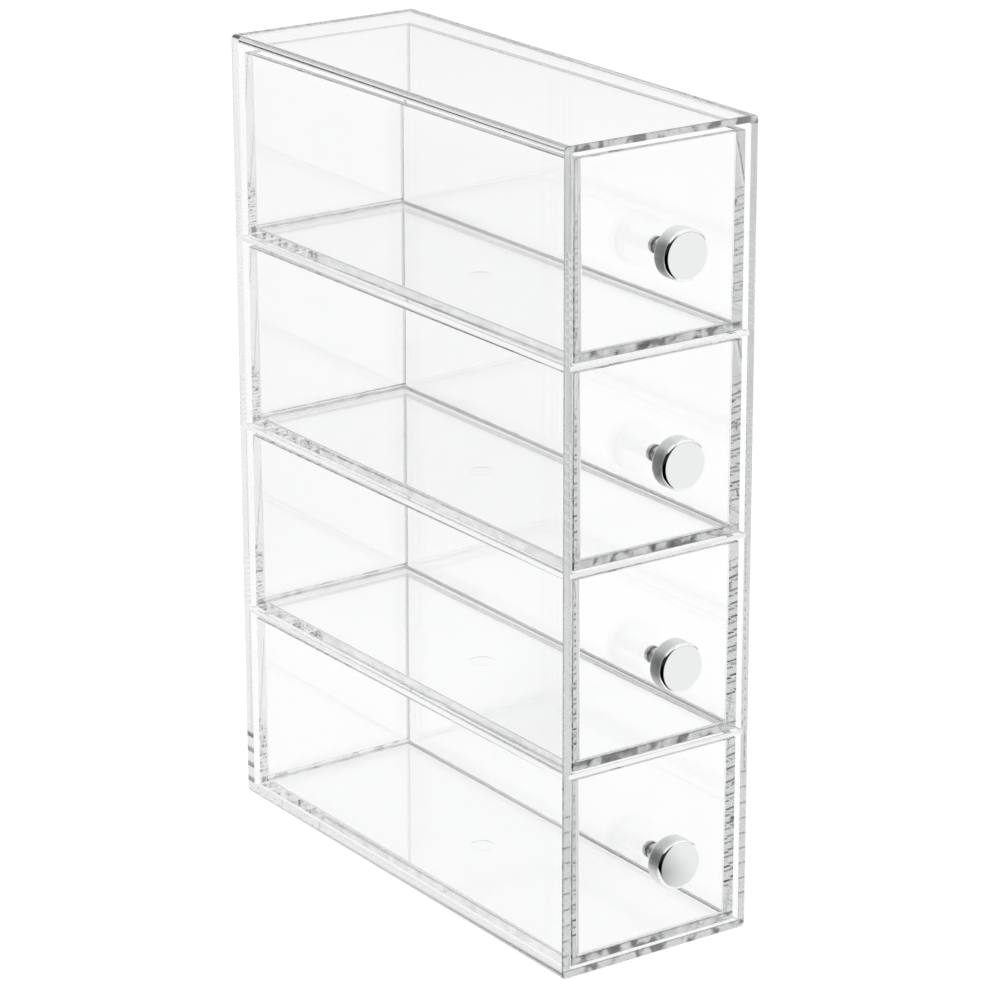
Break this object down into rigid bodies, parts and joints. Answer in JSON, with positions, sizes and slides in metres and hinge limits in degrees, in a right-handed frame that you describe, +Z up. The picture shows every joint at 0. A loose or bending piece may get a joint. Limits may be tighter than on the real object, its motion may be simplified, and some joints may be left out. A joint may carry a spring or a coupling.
{
  "type": "acrylic drawer organizer",
  "caption": "Tall narrow clear acrylic organizer: an open-fronted case with shelves, stacked pull-out tray drawers, and round chrome knobs.",
  "frame": {"origin": "centre of the case's underside, on the surface it stands on", "axes": "+Z up; the drawers open towards -Y; +X to the right of someone who faces the drawer fronts (left and right are alike)"},
  "size_m": [0.088, 0.2456, 0.327],
  "materials": {
    "case_acrylic": "clear polished acrylic",
    "shelf_acrylic": "clear moulded acrylic plate",
    "drawer_acrylic": "clear moulded acrylic",
    "knob_chrome": "satin side, polished edge",
    "screw_steel": "nickel plated"
  },
  "bodies": {
    "case": {"case_shell": "case_acrylic", "shelf_lower": "shelf_acrylic", "shelf_middle": "shelf_acrylic", "shelf_upper": "shelf_acrylic"},
    "drawer_bottom": {"drawer_bottom": "drawer_acrylic", "knob_bottom": "knob_chrome", "knob_screw_bottom": "screw_steel"},
    "drawer_lower": {"drawer_lower": "drawer_acrylic", "knob_lower": "knob_chrome", "knob_screw_lower": "screw_steel"},
    "drawer_upper": {"drawer_upper": "drawer_acrylic", "knob_upper": "knob_chrome", "knob_screw_upper": "screw_steel"},
    "drawer_top": {"drawer_top": "drawer_acrylic", "knob_top": "knob_chrome", "knob_screw_top": "screw_steel"}
  },
  "joints": [
    {"name": "slide_bottom", "type": "slide", "parent": "case", "child": "drawer_bottom", "axis": [0, -1, 0], "range_m": [0, 0.18]},
    {"name": "slide_lower", "type": "slide", "parent": "case", "child": "drawer_lower", "axis": [0, -1, 0], "range_m": [0, 0.18]},
    {"name": "slide_upper", "type": "slide", "parent": "case", "child": "drawer_upper", "axis": [0, -1, 0], "range_m": [0, 0.18]},
    {"name": "slide_top", "type": "slide", "parent": "case", "child": "drawer_top", "axis": [0, -1, 0], "range_m": [0, 0.18]}
  ]
}
